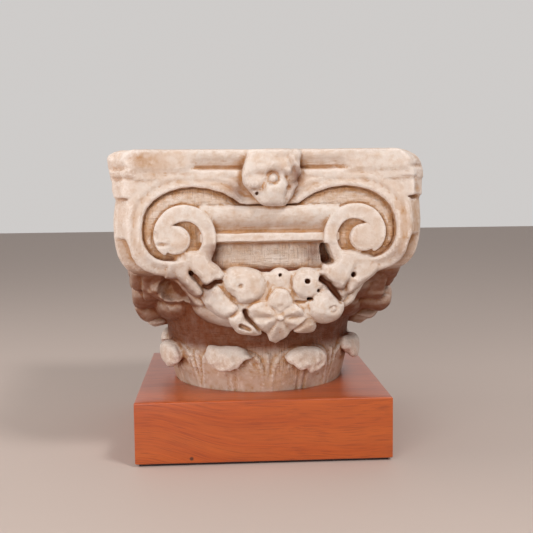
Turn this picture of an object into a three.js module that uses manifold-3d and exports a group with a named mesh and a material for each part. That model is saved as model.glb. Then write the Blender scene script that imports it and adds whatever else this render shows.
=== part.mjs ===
// An ionic capital in marble with corner volutes, fruit garlands and a ring of leaves, standing in a square
// wooden block. Millimetres, +Z up, the front towards -Y, the origin under the middle of the block.
import * as THREE from "three";
import { mergeVertices } from "three/addons/utils/BufferGeometryUtils.js";
import Module from "manifold-3d";

const wasm = await Module();
wasm.setup();

// Driving dimensions of the block and the sheet under it
const clearance = 0.3;
const sheetThickness = 3;
const sheetInset = 5;
const blockWidth = 350;
const blockHeight = 85;
const blockEase = 2;
const seatDepth = 20;
const seatPlay = 3;
const turnInSeat = 3;

// Driving dimensions of the capital
const capitalHeight = 355;
const footRadius = 123;
const bellSwell = 16;
const bellFlare = 44;
const abacusHalf = 208;
const abacusThickness = 38;
const abacusCorner = 20;
const abacusHollow = 18;
const groundDepth = 9;
const voluteDrop = 77.6;
const stripWidth = 22;
const frontDistance = 185;
const frontBow = 18;
const frontLean = 12;
const leafCount = 8;
const leafHeight = 90;
const leafStandOut = 16;

// Places that follow from them
const blockBottom = sheetThickness + clearance;
const seatLevel = blockBottom + blockHeight - seatDepth;
const seatRadius = footRadius + seatPlay;
const footLevel = seatLevel + clearance;
const abacusUnder = capitalHeight - abacusThickness;
const faceHalf = frontDistance + frontBow - stripWidth / Math.SQRT2;
const eyeLevel = abacusUnder - voluteDrop;

// The free carving is drawn for a capital 355 high, and it grows and shrinks with the real height.
const unit = capitalHeight / 355;
const eyeAcross = faceHalf - 65.5 * unit;

const marble = new THREE.MeshStandardMaterial({ color: 0xdfcdb9, roughness: 0.75, metalness: 0 });
const wood = new THREE.MeshStandardMaterial({ color: 0xb35a2e, roughness: 0.45, metalness: 0 });
const felt = new THREE.MeshStandardMaterial({ color: 0x2c211d, roughness: 0.95, metalness: 0 });

// A closed geometry as a solid, with its faces turned outwards if a mirroring turned them in.
function solidOf(geometry) {
  const bare = geometry.clone();
  bare.deleteAttribute("normal");
  bare.deleteAttribute("uv");
  const merged = mergeVertices(bare, 1e-4);
  const points = merged.attributes.position.array;
  const corners = Uint32Array.from(merged.index.array);
  const [a, b, c] = [new THREE.Vector3(), new THREE.Vector3(), new THREE.Vector3()];
  let volume = 0;
  for (let i = 0; i < corners.length; i += 3) {
    a.fromArray(points, 3 * corners[i]);
    b.fromArray(points, 3 * corners[i + 1]);
    c.fromArray(points, 3 * corners[i + 2]);
    volume += a.dot(b.cross(c));
  }
  if (volume < 0) corners.reverse();
  return new wasm.Manifold(new wasm.Mesh({ numProp: 3, vertProperties: points, triVerts: corners }));
}

// The geometry of a solid, with flat faces.
function geometryOf(solid) {
  const mesh = solid.getMesh();
  const geometry = new THREE.BufferGeometry();
  geometry.setAttribute("position", new THREE.BufferAttribute(mesh.vertProperties, 3));
  geometry.setIndex(new THREE.BufferAttribute(mesh.triVerts, 1));
  const flat = geometry.toNonIndexed();
  flat.computeVertexNormals();
  return flat;
}

function joined(geometries) {
  return geometries.map(solidOf).reduce((whole, piece) => whole.add(piece));
}

// The stone is solid: of all its shells only the outer one is kept, which fills gaps shut in by the carving.
function withoutHollows(solid) {
  return solid.decompose().reduce((outer, shell) => (shell.volume() > outer.volume() ? shell : outer));
}

// Moves every vertex of a geometry to the place that the function gives for it.
function moved(geometry, place) {
  const positions = geometry.attributes.position;
  const point = new THREE.Vector3();
  for (let i = 0; i < positions.count; i++) {
    point.fromBufferAttribute(positions, i);
    positions.setXYZ(i, ...place(point.x, point.y, point.z));
  }
  return geometry;
}

// How far the carved front stands from the axis: bowed in at its middle, leaning back under the scrolls.
function frontAt(across, level) {
  const low = Math.max(0, eyeLevel - level) / (45 * unit);
  return frontDistance + frontBow * (across / faceHalf) ** 2 - frontLean * low ** 2;
}

// A band between two edges, each a function of its way from 0 to 1 that gives [across, level].
// Its back lies deep in the stone and its face stands off the carved front by the height given.
function band(steps, outer, inner, height, deep = 16, rounding = 0, rows = 1) {
  const strip = new THREE.BoxGeometry(1, 1, 1, steps, 1, rows);
  return moved(strip, (x, y, z) => {
    const way = x + 0.5;
    const side = z + 0.5;
    const [acrossOut, levelOut] = outer(way);
    const [acrossIn, levelIn] = inner(way);
    const across = THREE.MathUtils.lerp(acrossOut, acrossIn, side);
    const level = THREE.MathUtils.lerp(levelOut, levelIn, side);
    const crown = rounding * (1 - (2 * side - 1) ** 2);
    const face = frontAt(across, level) + height;
    return [across, y < 0 ? -face - crown : deep - face, level];
  });
}

// The abacus: a plan with hollow sides and cut corners, its edge moulded by [level, inset] pairs.
function abacus() {
  const cut = abacusHalf - abacusCorner;
  const sidePoints = 4;
  const plan = [];
  for (let side = 0; side < 4; side++) {
    for (let i = 0; i <= sidePoints; i++) {
      const share = (2 * i) / sidePoints - 1;
      const point = new THREE.Vector2(share * cut, -abacusHalf + abacusHollow * (1 - share ** 2));
      plan.push(point.rotateAround(new THREE.Vector2(), (side * Math.PI) / 2));
    }
  }
  const top = abacusThickness;
  const edge = [[-4, 16], [0.5, 12], [11, 12], [12, 15], [15, 15], [17, 8], [25, 1], [35, 0], [38, 2.5]]
    .map(([level, inset]) => [(level * top) / 38, inset * unit]);
  const steps = edge.length - 1;
  const slab = new THREE.ExtrudeGeometry(new THREE.Shape(plan), { depth: 1, steps, bevelEnabled: false });
  return moved(slab, (x, y, z) => {
    const [level, inset] = edge[Math.round(z * steps)];
    const shrink = 1 - inset / abacusHalf;
    return [x * shrink, y * shrink, abacusUnder + level];
  });
}

// The round core: the foot, the bell and its flare up to the volutes.
function bell() {
  const flareLevel = eyeLevel - 30 * unit;
  const topLevel = abacusUnder - 20 * unit;
  const outline = [
    [0, 0],
    [footRadius, 0],
    [footRadius, 0.115 * flareLevel],
    [footRadius + 0.56 * bellSwell, 0.287 * flareLevel],
    [footRadius + bellSwell, 0.478 * flareLevel],
    [footRadius + (bellSwell + bellFlare) / 2, 0.766 * flareLevel],
    [footRadius + bellFlare, flareLevel],
    [footRadius + 0.91 * bellFlare, topLevel],
    [0, topLevel],
  ];
  const profile = outline.map(([radius, level]) => new THREE.Vector2(radius, level));
  return new THREE.LatheGeometry(profile, 24).rotateX(Math.PI / 2);
}

// One leaf of the ring round the foot: it lies on the bell and its tip curls out and down.
function leaf(turn) {
  const tipRadius = footRadius + bellSwell + leafStandOut;
  const outline = [
    [footRadius - leafStandOut, 0],
    [footRadius + 0.06 * bellSwell, 0.22 * leafHeight],
    [footRadius + 0.44 * bellSwell, 0.53 * leafHeight],
    [tipRadius - 0.25 * leafStandOut, 0.56 * leafHeight],
    [tipRadius, 0.7 * leafHeight],
    [tipRadius - 0.31 * leafStandOut, 0.92 * leafHeight],
    [tipRadius - leafStandOut, leafHeight],
    [footRadius - leafStandOut, leafHeight],
  ].map(([radius, level]) => new THREE.Vector2(radius, level));
  const steps = 3;
  const shape = new THREE.Shape(outline);
  const block = new THREE.ExtrudeGeometry(shape, { depth: 1, steps, bevelEnabled: false });
  return moved(block, (radius, level, share) => {
    const side = 2 * share - 1;
    const rise = THREE.MathUtils.clamp((3 * level) / leafHeight - 0.67, 0, 1);
    const halfAngle = (Math.PI / leafCount) * THREE.MathUtils.lerp(0.97, 0.68, rise);
    const angle = turn + side * halfAngle;
    const droop = Math.max(0, radius - footRadius - bellSwell / 2) * 0.55 * side ** 2;
    const drop = rise * 0.08 * leafHeight * side ** 2;
    return [(radius - droop) * Math.cos(angle), (radius - droop) * Math.sin(angle), level - drop];
  });
}

// The spiral of a volute, as [turns from the outer side, radius round the eye], for its two edges.
const spiralOuter = new THREE.SplineCurve(
  [[0, 66], [0.12, 59], [0.25, 51.5], [0.5, 51.5], [0.62, 50], [0.75, 43], [0.87, 34], [1, 29], [1.2, 24]]
    .map(([turns, radius]) => new THREE.Vector2(turns, radius * unit)),
);
const spiralInner = new THREE.SplineCurve(
  [[0, 43.5], [0.12, 36.5], [0.25, 28.5], [0.4, 34], [0.5, 34], [0.62, 30], [0.75, 20], [0.9, 15], [1.2, 15]]
    .map(([turns, radius]) => new THREE.Vector2(turns, radius * unit)),
);

// A point of a spiral edge: the spiral runs down the outer side, under the eye and up again.
function spiralPoint(edge, way) {
  const { x: turns, y: radius } = edge.getPoint(way);
  const angle = Math.PI + 2 * Math.PI * turns;
  return [radius * Math.cos(angle) - eyeAcross, radius * Math.sin(angle) + eyeLevel];
}

// The left volute of a side: its ribbon from the flower out to the corner, its spiral, ground and eye.
// The steps are those of its spiral.
function volute(steps) {
  const ribbonInner = new THREE.SplineCurve(
    [[84, 47], [62, 58], [40, 64.5], [16, 66], [-8, 61], [-24, 54], [-36, 41], [-42, 25], [-43.5, 0]]
      .map(([across, up]) => new THREE.Vector2(across * unit - eyeAcross, up * unit + eyeLevel)),
  );
  const corner = 0.7;
  const topEdge = abacusUnder + unit;
  const ribbonOuter = (way) => (way < corner
    ? [THREE.MathUtils.lerp(84 * unit - eyeAcross, -faceHalf, way / corner), topEdge]
    : [-faceHalf, THREE.MathUtils.lerp(topEdge, eyeLevel, (way - corner) / (1 - corner))]);
  const ribbon = band(Math.ceil(steps / 2), ribbonOuter, (way) => ribbonInner.getPoint(way).toArray(), 0);
  const spiral = band(steps, (way) => spiralPoint(spiralOuter, way), (way) => spiralPoint(spiralInner, way), 0);

  const lobe = new THREE.Shape();
  const rim = [];
  for (let i = 0; i <= 8; i++) rim.push(new THREE.Vector2(...spiralPoint(spiralOuter, (i / 8) * 0.7)));
  lobe.setFromPoints([...rim, new THREE.Vector2(-eyeAcross + 30 * unit, abacusUnder), new THREE.Vector2(-faceHalf, abacusUnder)]);
  const depth = frontDistance / 2;
  const ground = new THREE.ExtrudeGeometry(lobe, { depth, bevelEnabled: false });
  moved(ground, (across, level, deep) => [
    across,
    deep > 0 ? -(frontAt(across, level) - groundDepth) : -(frontDistance - depth),
    level,
  ]);

  const eye = new THREE.CylinderGeometry(18 * unit, 20.5 * unit, 22 * unit, 8);
  moved(eye, (x, y, z) => {
    const [across, level] = [x - eyeAcross, z + eyeLevel];
    return [across, -(frontAt(across, level) - 8 * unit + y), level];
  });
  return [ribbon, spiral, ground, eye];
}

// The narrow strip where the volutes of two sides meet at the corner, with its underside curling in.
function cornerStrip() {
  const reach = (faceHalf + frontDistance + frontBow) / Math.SQRT2;
  const curl = new THREE.Shape();
  const [topEdge, foot] = [abacusUnder + unit, eyeLevel - 52 * unit];
  const [inner, face] = [frontDistance - 60 * unit, reach - 0.5 * unit];
  curl.moveTo(inner, topEdge);
  curl.lineTo(inner, foot);
  curl.lineTo(reach - 62 * unit, foot);
  curl.quadraticCurveTo(reach - 4 * unit, foot + 6 * unit, face, eyeLevel + 2 * unit);
  curl.lineTo(face, topEdge);
  const strip = new THREE.ExtrudeGeometry(curl, { depth: stripWidth, curveSegments: 4, bevelEnabled: false });
  strip.translate(0, 0, -stripWidth / 2);
  return strip.rotateX(Math.PI / 2).rotateZ(-Math.PI / 4);
}

// The stone between and behind the scrolls: the channel's ground, the bar and its fillet, the tooled part below.
function middle() {
  const run = (inset, level) => (way) => {
    const half = eyeAcross - inset * unit;
    return [THREE.MathUtils.lerp(-half, half, way), eyeLevel + level * unit];
  };
  const deep = frontDistance / 2;
  return [
    band(4, run(-10, 78), run(-10, -6), -groundDepth, deep),
    band(4, run(36, 43), run(40, 10), -3 * unit, 30 * unit, 3 * unit, 2),
    band(4, run(40, 6), run(40, -5), -3 * unit, 30 * unit),
    band(2, run(30, -2), run(60, -44), -20 * unit, deep),
  ];
}

// A rounded lump of carving: its middle lies across from the side's middle and up from a level, and its top
// stands off the carved front.
function lump(level, [across, up, half, rise, off, out, turn], sides = 10) {
  const ball = new THREE.SphereGeometry(unit, sides, Math.max(4, sides - 3));
  ball.rotateX(Math.PI / 2);
  ball.scale(half, out, rise);
  ball.rotateY(-turn);
  return ball.translate(across * unit, (out - off) * unit - frontDistance, level + up * unit);
}

// The garland hangs from the underside of the bar.
const garlandTop = eyeLevel - 30 * unit;

// Fruit and buds: [across, up, half width, half height, how far its top stands off the front, half depth, turn].
const fruit = [
  [-36, -34, 32, 26, 5, 44, 0.1],
  [14, -23, 16, 14, -1, 34, 0],
  [49, -32, 22, 22, 3, 36, 0],
  [75, -64, 25, 25, 3, 40, 0],
  [-66, -56, 24, 24, -1, 44, 0.5],
  [-36, -92, 24, 15, -4, 38, 0.5],
  [49, -93, 16, 12, -6, 34, 0.3],
  [66, -43, 12, 12, -5, 30, 0],
  [24, -45, 9, 12, -5, 30, 0],
];

// Leaves that hang under the scrolls, in the same order as the fruit.
const hangingLeaves = [
  [-96, -14, 36, 16, 4, 44, 0.35],
  [-89, -38, 16, 20, 1, 44, 0.3],
  [-98, -56, 10, 18, -7, 44, -0.3],
  [86, -16, 26, 14, 4, 44, -0.35],
  [90, -40, 15, 18, 0, 44, -0.3],
  [100, -58, 9, 14, -7, 44, 0.3],
];

// The front carries the whole garland and the other sides its large pieces.
function garland(whole) {
  const pieces = [lump(garlandTop, [2, -50, 108, 66, -11, 50, 0], 8)];
  for (const form of [...fruit, ...hangingLeaves]) {
    const half = form[2];
    if (whole || half > 23) pieces.push(lump(garlandTop, form, whole && half > 20 ? 8 : 6));
  }
  const [across, up] = [12, -78];
  if (!whole) return [...pieces, lump(garlandTop, [across, up, 33, 33, 0, 30, 0], 6)];
  const petals = 6;
  for (let i = 0; i < petals; i++) {
    const turn = Math.PI / 2 + (i * 2 * Math.PI) / petals;
    const [aside, above] = [19 * Math.cos(turn), 19 * Math.sin(turn)];
    pieces.push(lump(garlandTop, [across + aside, up + above, 20, 9.5, 2, 30, turn], 6));
  }
  return pieces;
}

// The flower on the middle of the abacus: five lobes round a button, standing off the moulding.
function flower(whole) {
  const upper = [[3, 22, 27, 15, 20, 30, 0], [-20, 4, 19, 22, 18, 28, 0.2], [24, 6, 19, 24, 18, 28, -0.2]];
  const lower = [[-12, -20, 17, 19, 14, 24, 0.5], [16, -20, 17, 19, 14, 24, -0.5], [2, -14, 12, 20, 19, 24, 0]];
  const plainLower = [[2, -16, 27, 22, 16, 24, 0]];
  return [...upper, ...(whole ? lower : plainLower)].map((form) => lump(abacusUnder, form, 6));
}

// Turns a geometry of the front to another side, mirrored on every second one.
function onSide(geometry, side) {
  const copy = geometry.clone();
  if (side % 2) copy.scale(-1, 1, 1);
  return copy.rotateZ((side * Math.PI) / 2);
}

// The corners at the front are worn down: each loses the stone beyond a slanting face.
function wornCorner(side, share, slope) {
  const reach = (2 * abacusHalf - abacusCorner) / Math.SQRT2;
  const [length, width, height] = [reach, abacusHalf, 2 * abacusThickness];
  const cutter = new THREE.BoxGeometry(length, width, height).translate(length / 2, 0, height / 2);
  cutter.rotateY(slope);
  cutter.translate(reach * share, 0, capitalHeight);
  return cutter.rotateZ(-Math.PI / 2 + (side * Math.PI) / 4);
}

function capital() {
  const pieces = [bell(), abacus()];
  for (let side = 0; side < 4; side++) {
    pieces.push(cornerStrip().rotateZ((side * Math.PI) / 2));
    const whole = side === 0;
    const steps = whole ? 18 : 11;
    const volutes = [...volute(steps), ...volute(steps).map((piece) => piece.scale(-1, 1, 1))];
    const carving = [...volutes, ...middle(), ...garland(whole), ...flower(whole)];
    pieces.push(...carving.map((piece) => onSide(piece, side)));
  }
  for (let i = 0; i < leafCount; i++) pieces.push(leaf(((i + 0.5) * 2 * Math.PI) / leafCount));
  const stone = withoutHollows(joined(pieces));
  return geometryOf(stone.subtract(solidOf(wornCorner(1, 0.9, 0.7))).subtract(solidOf(wornCorner(-1, 0.955, 0.55))));
}

function block() {
  const half = blockWidth / 2 - blockEase;
  const square = new THREE.Shape([[-half, -half], [half, -half], [half, half], [-half, half]]
    .map((corner) => new THREE.Vector2(...corner)));
  const body = new THREE.ExtrudeGeometry(square, {
    depth: blockHeight - 2 * blockEase,
    bevelSize: blockEase,
    bevelThickness: blockEase,
    bevelSegments: 2,
  });
  body.translate(0, 0, blockBottom + blockEase);
  const seat = new THREE.CylinderGeometry(seatRadius, seatRadius, 2 * seatDepth, 56);
  seat.rotateX(Math.PI / 2).translate(0, 0, seatLevel + seatDepth);
  return geometryOf(solidOf(body).subtract(solidOf(seat)));
}

const model = new THREE.Group();

const capitalMesh = new THREE.Mesh(capital(), marble);
capitalMesh.name = "marble_capital";
capitalMesh.position.z = footLevel;
capitalMesh.rotation.z = THREE.MathUtils.degToRad(turnInSeat);

const blockMesh = new THREE.Mesh(block(), wood);
blockMesh.name = "wooden_base";

const sheetWidth = blockWidth - 2 * sheetInset;
const sheetGeometry = new THREE.BoxGeometry(sheetWidth, sheetWidth, sheetThickness);
const sheetMesh = new THREE.Mesh(sheetGeometry, felt);
sheetMesh.name = "base_felt";
sheetMesh.position.z = sheetThickness / 2;

model.add(capitalMesh, blockMesh, sheetMesh);
export default model;
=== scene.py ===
import math

import bpy
import numpy as np
from mathutils import Matrix, Vector


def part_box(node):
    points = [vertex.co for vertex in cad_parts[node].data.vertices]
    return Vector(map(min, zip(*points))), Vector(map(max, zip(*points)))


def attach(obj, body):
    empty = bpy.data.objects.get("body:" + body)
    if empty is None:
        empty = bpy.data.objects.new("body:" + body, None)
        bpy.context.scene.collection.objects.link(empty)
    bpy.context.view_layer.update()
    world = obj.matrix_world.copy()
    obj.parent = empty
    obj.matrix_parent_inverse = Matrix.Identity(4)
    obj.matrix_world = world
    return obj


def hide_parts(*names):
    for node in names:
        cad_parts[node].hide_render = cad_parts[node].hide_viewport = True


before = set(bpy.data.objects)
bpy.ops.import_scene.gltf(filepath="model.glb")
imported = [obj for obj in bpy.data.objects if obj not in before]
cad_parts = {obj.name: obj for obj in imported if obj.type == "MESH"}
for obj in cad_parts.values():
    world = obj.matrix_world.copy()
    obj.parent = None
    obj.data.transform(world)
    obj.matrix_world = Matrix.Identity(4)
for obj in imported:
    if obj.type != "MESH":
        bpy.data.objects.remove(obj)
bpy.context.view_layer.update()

# Camera
# It stands a little left of the middle and looks slightly down, at the photograph's angle.
# The frame is square, so the lens follows from its width in pixels and the focal length in pixels.
frame_pixels = 533
focal_pixels = 856.28
camera_place = Vector((-0.0543, -1.3054, 0.3761))
turn_right, look_down, roll = 0.0524, 0.0943, -0.0111
ahead = Vector((
    math.sin(turn_right) * math.cos(look_down),
    math.cos(turn_right) * math.cos(look_down),
    -math.sin(look_down),
))
level_right = Vector((math.cos(turn_right), -math.sin(turn_right), 0.0))
level_up = level_right.cross(ahead)
right = math.cos(roll) * level_right + math.sin(roll) * level_up
up = -math.sin(roll) * level_right + math.cos(roll) * level_up


def put_in(name, data):
    """A new object in the scene that shows the data given."""
    thing = bpy.data.objects.new(name, data)
    bpy.context.scene.collection.objects.link(thing)
    return thing


camera_data = bpy.data.cameras.new("camera")
camera_data.sensor_width = 36.0
camera_data.lens = camera_data.sensor_width * focal_pixels / frame_pixels
camera = put_in("camera", camera_data)
turned = Matrix((right, up, -ahead)).transposed().to_4x4()
camera.matrix_world = Matrix.Translation(camera_place) @ turned
bpy.context.scene.camera = camera
bpy.context.scene.view_settings.view_transform = "Standard"


# The marble capital
# One block of cream marble, carved with chisels and a drill, worn and stained with age. It stands by its
# own weight in the recess of the wooden block, turned a little. The stone is a grid of depths under its
# skin, in millimetres, with across from a side's middle, out from the axis and levels from the floor.
foot_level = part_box("marble_capital")[0][2] * 1000
top_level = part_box("marble_capital")[1][2] * 1000
turn_in_seat = math.radians(3.0)
voxel = 1.5
grid_count = 291
empty = -30.0
abacus_under = top_level - 38.0
eye_level = abacus_under - 77.6
face_half = 187.5
eye_across = 122.0

across_grid = ((np.arange(grid_count) - (grid_count - 1) / 2) * voxel).astype(np.float32)
level_grid = np.arange(foot_level - 4.5, top_level + 6.0, voxel).astype(np.float32)
out_grid = -across_grid[across_grid < -50.0]
stone = np.full((grid_count, grid_count, len(level_grid)), empty, np.float32)
side_carving = np.full((grid_count, len(out_grid), len(level_grid)), empty, np.float32)


def ramp(low, high, value):
    """0 below low, 1 above high and an S-shaped rise between: 3 t^2 - 2 t^3."""
    t = np.clip((value - low) / (high - low), 0.0, 1.0)
    return t * t * (3.0 - 2.0 * t)


def hump(away, width, beside=0.0, beside_width=1.0):
    """1 in the middle, fading all round it: e to minus the sum of the squares of the two shares."""
    return np.exp(-((away / width) ** 2 + (beside / beside_width) ** 2))


def rounded_meet(a, b, radius):
    """Depth under two faces that meet in a quarter round: radius minus the length of what each lacks."""
    return radius - np.hypot(np.maximum(radius - a, 0.0), np.maximum(radius - b, 0.0))


def soft_join(a, b, blend):
    """The larger of two depths, filled in the crease over the blend: a mix plus blend times h (1 - h)."""
    h = np.clip(0.5 + 0.5 * (a - b) / blend, 0.0, 1.0)
    return b + (a - b) * h + blend * h * (1.0 - h)


def smooth_outline(knots, steps=5):
    """Closed curve through the knots: a cubic between each pair, with slopes from the neighbours."""
    p1 = np.asarray(knots, np.float32)
    p0, p2, p3 = np.roll(p1, 1, 0), np.roll(p1, -1, 0), np.roll(p1, -2, 0)
    t = (np.arange(steps, dtype=np.float32) / steps)[None, :, None]
    p0, p1, p2, p3 = (p[:, None, :] for p in (p0, p1, p2, p3))
    curve = 0.5 * (2 * p1 + (p2 - p0) * t + (2 * p0 - 5 * p1 + 4 * p2 - p3) * t**2
                   + (3 * p1 - p0 - 3 * p2 + p3) * t**3)
    return curve.reshape(-1, 2)


def gap_to(starts, ends, across, level):
    """Least distance from each place to the stretches between the starts and the ends."""
    step = ends - starts
    from_across, from_level = across[..., None] - starts[:, 0], level[..., None] - starts[:, 1]
    along = (from_across * step[:, 0] + from_level * step[:, 1]) / np.maximum((step**2).sum(1), 1e-9)
    along = np.clip(along, 0.0, 1.0)
    return np.hypot(from_across - along * step[:, 0], from_level - along * step[:, 1]).min(-1)


def inside_by(outline, across, level):
    """Distance inside a closed outline, negative outside, told by the edges crossed on the way out."""
    a = np.asarray(outline, np.float32)
    b = np.roll(a, -1, 0)
    gap = gap_to(a, b, across, level)
    px, pz = across[..., None], level[..., None]
    rise = b[:, 1] - a[:, 1]
    rise = np.where(np.abs(rise) < 1e-9, 1e-9, rise)
    crossed = ((a[:, 1] > pz) != (b[:, 1] > pz)) & (px < a[:, 0] + (pz - a[:, 1]) * (b - a)[:, 0] / rise)
    return np.where(crossed.sum(-1) % 2 == 1, gap, -gap)


def from_line(points, across, level):
    """Distance from an open line of points."""
    line = np.asarray(points, np.float32)
    return gap_to(line[:-1], line[1:], across, level)


def part_of(grid, low, high):
    """The part of a grid line between two bounds."""
    return slice(*np.searchsorted(grid, (low, high)))


def window(low, high):
    """Slices of the side's grid between two places, and the two coordinates there."""
    i, k = part_of(across_grid, low[0], high[0]), part_of(level_grid, low[1], high[1])
    across, level = np.meshgrid(across_grid[i], level_grid[k], indexing="ij")
    return i, k, across, level


def raise_form(outline, top, soft, blend=2.0, deep=70.0, taper=0.0):
    """Adds a form that stands off the side: its outline, its face's distance out, the roundness of its
    edge and the share by which it narrows as it goes back into the stone."""
    i, k, across, level = window(outline.min(0) - 3.0, outline.max(0) + 3.0)
    side = inside_by(outline, across, level)
    face = top(across, level) if callable(top) else np.full_like(across, top)
    j = part_of(-out_grid, -(face.max() + 3.0), deep - face.min())
    away = face[:, None, :] - out_grid[None, j, None]
    form = rounded_meet(side[:, None, :] - taper * np.maximum(away, 0.0), away, soft)
    side_carving[i, j, k] = soft_join(side_carving[i, j, k], form, blend)


def raise_rounded(knots, top, soft, blend=0.8, taper=0.15, deep=60.0):
    """Adds a form whose outline is a smooth curve through the knots."""
    raise_form(smooth_outline(knots), top, soft, blend, deep, taper)


def raise_lump(middle, half, out_half, top, blend=3.0):
    """Adds a rounded lump: 1 minus the place's length in shares of the half sizes, times the least."""
    i, k, across, level = window((middle[0] - half[0] - 3, middle[1] - half[1] - 3),
                                 (middle[0] + half[0] + 3, middle[1] + half[1] + 3))
    j = part_of(-out_grid, -(top + 3.0), -(top - 2 * out_half - 3.0))
    beside = ((across - middle[0]) / half[0]) ** 2 + ((level - middle[1]) / half[1]) ** 2
    behind = (out_grid[j] - top + out_half)[None, :, None] / out_half
    share = np.sqrt(beside[:, None, :] + behind**2)
    form = (1.0 - share) * min(half[0], half[1], out_half)
    side_carving[i, j, k] = soft_join(side_carving[i, j, k], form, blend)


def cut_line(points, half_width, floor, steep=1.0):
    """Cuts a groove into the side along a line: stone is kept beyond its walls or behind its floor."""
    line = np.asarray(points, np.float32)
    reach = half_width + 4.0
    i, k, across, level = window(line.min(0) - reach, line.max(0) + reach)
    near = from_line(line, across, level)
    base = floor(across, level) if callable(floor) else np.full_like(across, floor)
    j = part_of(-out_grid, -(base.max() + 40.0), 4.0 - base.min())
    above_floor = out_grid[None, j, None] - base[:, None, :]
    wall = (near - half_width)[:, None, :] - (1.0 - steep) * np.maximum(above_floor, 0)
    kept = np.maximum(wall, -above_floor)
    side_carving[i, j, k] = np.minimum(side_carving[i, j, k], kept)


def cut_shape(knots, floor, spread=0.25):
    """Cuts a hollow of the outline given down to its floor, its walls leaning out by the spread."""
    outline = smooth_outline(knots)
    i, k, across, level = window(outline.min(0) - 12.0, outline.max(0) + 12.0)
    j = part_of(-out_grid, -(floor + 45.0), 4.0 - floor)
    depth_up = np.maximum(out_grid[j] - floor, 0.0)[None, :, None]
    wall = -inside_by(outline, across, level)[:, None, :] - spread * depth_up + 2.0
    kept = np.maximum(wall, (floor - out_grid[j])[None, :, None])
    side_carving[i, j, k] = np.minimum(side_carving[i, j, k], kept)


def drill(across_at, level_at, radius, out_at, depth):
    """Bores a blind round hole straight into the side: a groove cut along a line of no length."""
    cut_line([(across_at, level_at), (across_at + 0.01, level_at)], radius, out_at - depth)


# The carved side: the block of the volutes
def front_face(across, level):
    """The plane that the carving is cut into: bowed in at its middle, leaning back below the eyes."""
    low = np.maximum(eye_level - level, 0.0) / 45.0
    return 185.0 + 18.0 * (across / face_half) ** 2 - 12.0 * low**2


spiral_turns = (0.0, 0.125, 0.25, 0.5, 0.625, 0.75, 0.875, 1.0, 1.125, 1.2)
spiral_outer = (66.0, 58.3, 51.5, 51.5, 50.0, 43.5, 34.5, 29.2, 26.5, 24.0)
spiral_inner = (43.5, 36.5, 28.5, 34.0, 30.5, 20.5, 15.0, 14.0, 14.0, 14.0)


def spiral_edge(radii, first, last, count=60):
    """Points of a spiral round the eye: the angle grows with the turns, the radius between the knots."""
    way = np.linspace(first, last, count)
    radius = np.interp(way, spiral_turns, radii)
    for _ in range(3):
        radius[1:-1] = (radius[:-2] + 2 * radius[1:-1] + radius[2:]) / 4
    angle = math.pi + 2 * math.pi * way
    return np.stack([radius * np.cos(angle) - eye_across, radius * np.sin(angle) + eye_level], 1)


ribbon_edge = np.array([
    (-30, 351.5), (-38, 352.5), (-47, 359), (-60, 366.5), (-80, 372.5), (-100, 374.5), (-115, 373),
    (-130, 369), (-141, 364), (-151, 357), (-159, 348), (-164, 337), (-166.5, 322), (-166, 309),
    (-163, 299), (-157, 289.5), (-149, 283), (-139, 279.5), (-128, 279),
], np.float32) + (0.0, abacus_under - 385.0)
mirror = np.array((-1.0, 1.0), np.float32)
sunk_outline = np.concatenate([
    ribbon_edge,
    [(-100, 276), (-78, 262), (-78, 240), (78, 240), (78, 262), (100, 276)],
    (ribbon_edge * mirror)[::-1],
])
lobe_edge = np.array([
    (-215, 440), (-215, 312), (-187, 310), (-183, 300), (-180, 287), (-174, 276), (-164, 267),
    (-149, 260), (-135, 257), (-118, 254), (-96, 258), (-80, 268), (-60, 262),
], np.float32)
lobe_outline = np.concatenate([lobe_edge, (lobe_edge * mirror)[::-1]])

i, k, across, level = window((-220.0, 240.0), (220.0, abacus_under + 6.0))
face = front_face(across, level)
sunk = inside_by(sunk_outline, across, level)
scroll_disc = spiral_edge(spiral_outer, 0.25, 1.25)
from_scroll = np.maximum(-inside_by(scroll_disc, -np.abs(across), level), 0.0)
low_part = ramp(332.0, 300.0, level)
cove = 3.2 + 7.5 * np.exp(-np.maximum(sunk, 0.0) / (7.0 - 2.5 * low_part))
cove += low_part * 5.5 * np.exp(-from_scroll / 4.5) + (1 - low_part) * 2.5 * hump(from_scroll, 1.6)
middle_part = ramp(92.0, 84.0, np.abs(across)) * ramp(350.0, 347.0, level)
cove = cove * (1.0 - middle_part) + 10.0 * middle_part
below_bar = ramp(303.0, 300.0, level) * ramp(100.0, 92.0, np.abs(across))
cove = cove * (1.0 - below_bar) + (face - 171.0 + 0.08 * (300.0 - level)) * below_bar
ground = face - cove
ribbon_face = face + hump(sunk + 4.0, 2.5) + 0.8 * hump(sunk + 17.0, 4.0)
ribbon_face -= 0.8 * hump(sunk + 11.0, 3.0)

lobe = inside_by(lobe_outline, across, level)
corner_reach = np.interp(level_grid, (232, 240, 257, 261, 268, 276, 285, 300, 312, 330, 352, 357, 362),
                         (185, 203, 215, 233, 249, 259.5, 266, 271, 273.5, 274, 272, 271, 276))
out = out_grid[None, :, None]
wide = np.abs(across_grid)[:, None, None]
away = ground[:, None, :] - out
ribbon = rounded_meet(-sunk[:, None, :] + 0 * away, ribbon_face[:, None, :] - out, 1.8)
block = rounded_meet(soft_join(away, ribbon, 0.5),
                     corner_reach[k] - (wide[i] + out) / math.sqrt(2.0), 3.0)
block = np.minimum(block, out - wide[i] + 16.0)
block = rounded_meet(block, (lobe + 1.0)[:, None, :] - 0.12 * np.maximum(away, 0.0), 4.0)
block = np.minimum(block, abacus_under + 4.0 - level[:, None, :])
side_carving[i, :, k] = np.maximum(side_carving[i, :, k], block)

bar_half = eye_across - 30.0


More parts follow.
